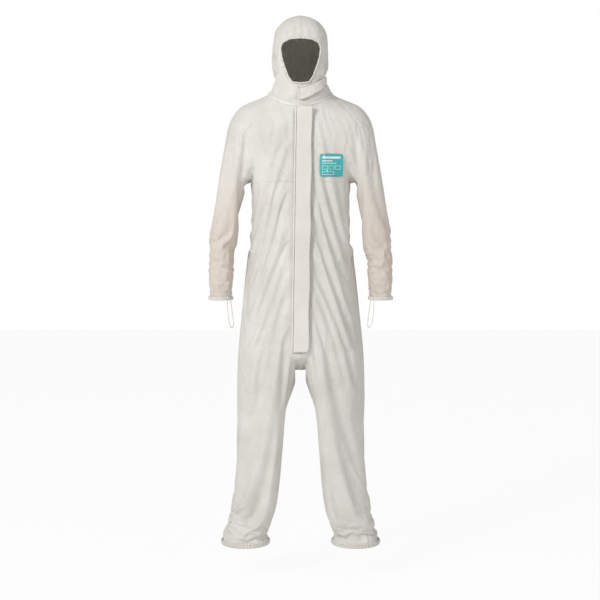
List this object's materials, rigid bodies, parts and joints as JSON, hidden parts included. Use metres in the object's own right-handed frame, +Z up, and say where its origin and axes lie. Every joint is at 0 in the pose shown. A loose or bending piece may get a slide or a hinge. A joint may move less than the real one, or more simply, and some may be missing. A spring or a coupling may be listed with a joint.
{
  "type": "chemical protective suit",
  "caption": "Hooded one-piece protective coverall of white nonwoven cloth, with zip under a storm flap, chin flap, elastic cuffs with thumb loops, and elastic face opening and ankles.",
  "frame": {"origin": "centre of the neck seam, where the wearer's neck passes through", "axes": "+Z up, -Y to the front of the suit, +X to the wearer's left"},
  "size_m": [0.636, 0.2955, 1.762],
  "materials": {
    "nonwoven_cloth": "matt, soft, slightly fuzzy",
    "seam_trim": "matt",
    "flap_cloth": "matt, two layers",
    "adhesive_liner": "smooth release paper",
    "elastic": "covered elastic, cream",
    "zip_tape": "woven tape",
    "zip_coil": "satin",
    "zip_metal": "white enamel",
    "chest_label": "printed turquoise patch",
    "size_label": "smooth woven label"
  },
  "bodies": {
    "torso": {"front_upper_left": "nonwoven_cloth", "front_upper_right": "nonwoven_cloth", "front_lower_left": "nonwoven_cloth", "front_lower_right": "nonwoven_cloth", "back_upper": "nonwoven_cloth", "back_lower": "nonwoven_cloth", "crotch_gusset": "nonwoven_cloth", "waist_elastic": "elastic", "neck_seam_tape": "seam_trim", "shoulder_fold_left": "nonwoven_cloth", "shoulder_fold_right": "nonwoven_cloth", "hip_fold_left": "nonwoven_cloth", "hip_fold_right": "nonwoven_cloth", "hood_neck_fold": "nonwoven_cloth", "storm_flap_root": "seam_trim", "zip_tape_left": "zip_tape", "zip_tape_right": "zip_tape", "zip_teeth_left": "zip_coil", "zip_teeth_right": "zip_coil", "zip_bottom_stop": "zip_metal", "chest_label": "chest_label", "size_label": "size_label"},
    "hood": {"hood_left": "nonwoven_cloth", "hood_right": "nonwoven_cloth", "face_elastic": "elastic", "chin_flap_root": "seam_trim"},
    "chin_flap": {"chin_flap": "flap_cloth", "chin_flap_tape": "adhesive_liner"},
    "storm_flap": {"storm_flap": "flap_cloth", "storm_flap_tape": "adhesive_liner"},
    "zip_slider": {"zip_slider": "zip_metal", "zip_pull": "zip_metal"},
    "upper_sleeve_left": {"sleeve_upper_left": "nonwoven_cloth", "elbow_fold_left": "nonwoven_cloth"},
    "fore_sleeve_left": {"sleeve_lower_left": "nonwoven_cloth", "cuff_hem_left": "seam_trim", "cuff_elastic_left": "elastic", "thumb_loop_left": "elastic"},
    "thigh_left": {"leg_upper_front_left": "nonwoven_cloth", "leg_upper_back_left": "nonwoven_cloth", "knee_fold_left": "nonwoven_cloth"},
    "shin_left": {"leg_lower_front_left": "nonwoven_cloth", "leg_lower_back_left": "nonwoven_cloth", "leg_hem_left": "seam_trim", "leg_elastic_left": "elastic"},
    "upper_sleeve_right": {"sleeve_upper_right": "nonwoven_cloth", "elbow_fold_right": "nonwoven_cloth"},
    "fore_sleeve_right": {"sleeve_lower_right": "nonwoven_cloth", "cuff_hem_right": "seam_trim", "cuff_elastic_right": "elastic", "thumb_loop_right": "elastic"},
    "thigh_right": {"leg_upper_front_right": "nonwoven_cloth", "leg_upper_back_right": "nonwoven_cloth", "knee_fold_right": "nonwoven_cloth"},
    "shin_right": {"leg_lower_front_right": "nonwoven_cloth", "leg_lower_back_right": "nonwoven_cloth", "leg_hem_right": "seam_trim", "leg_elastic_right": "elastic"}
  },
  "joints": [
    {"name": "hood_nod", "type": "hinge", "parent": "torso", "child": "hood", "pos_m": [0, 0, 0.015], "axis": [1, 0, 0], "range_deg": [-15, 8], "deforming": ["hood_neck_fold"]},
    {"name": "chin_flap_open", "type": "hinge", "parent": "hood", "child": "chin_flap", "pos_m": [-0.0022, -0.1046, 0.008], "axis": [0, 0, -1], "range_deg": [0, 130]},
    {"name": "storm_flap_open", "type": "hinge", "parent": "torso", "child": "storm_flap", "pos_m": [-0.01219, -0.10564, -0.03158], "axis": [-0.015, -0.055, -0.9984], "range_deg": [0, 150]},
    {"name": "zip_slide", "type": "slide", "parent": "torso", "child": "zip_slider", "axis": [0, -0.055, -0.9985], "range_m": [0, 0.752]},
    {"name": "shoulder_left", "type": "hinge", "parent": "torso", "child": "upper_sleeve_left", "pos_m": [0.174, 0, -0.121], "axis": [0, -1, 0], "range_deg": [0, 90], "deforming": ["shoulder_fold_left"]},
    {"name": "elbow_left", "type": "hinge", "parent": "upper_sleeve_left", "child": "fore_sleeve_left", "pos_m": [0.26, 0, -0.42], "axis": [-1, 0, 0], "range_deg": [0, 90], "deforming": ["elbow_fold_left"]},
    {"name": "hip_left", "type": "hinge", "parent": "torso", "child": "thigh_left", "pos_m": [0.12075, 0, -0.83], "axis": [-1, 0, 0], "range_deg": [-15, 50], "deforming": ["hip_fold_left"]},
    {"name": "knee_left", "type": "hinge", "parent": "thigh_left", "child": "shin_left", "pos_m": [0.152, 0, -1.17], "axis": [1, 0, 0], "range_deg": [0, 80], "deforming": ["knee_fold_left"]},
    {"name": "shoulder_right", "type": "hinge", "parent": "torso", "child": "upper_sleeve_right", "pos_m": [-0.174, 0, -0.121], "axis": [0, 1, 0], "range_deg": [0, 90], "deforming": ["shoulder_fold_right"]},
    {"name": "elbow_right", "type": "hinge", "parent": "upper_sleeve_right", "child": "fore_sleeve_right", "pos_m": [-0.26, 0, -0.42], "axis": [-1, 0, 0], "range_deg": [0, 90], "deforming": ["elbow_fold_right"]},
    {"name": "hip_right", "type": "hinge", "parent": "torso", "child": "thigh_right", "pos_m": [-0.12075, 0, -0.83], "axis": [-1, 0, 0], "range_deg": [-15, 50], "deforming": ["hip_fold_right"]},
    {"name": "knee_right", "type": "hinge", "parent": "thigh_right", "child": "shin_right", "pos_m": [-0.152, 0, -1.17], "axis": [1, 0, 0], "range_deg": [0, 80], "deforming": ["knee_fold_right"]}
  ]
}
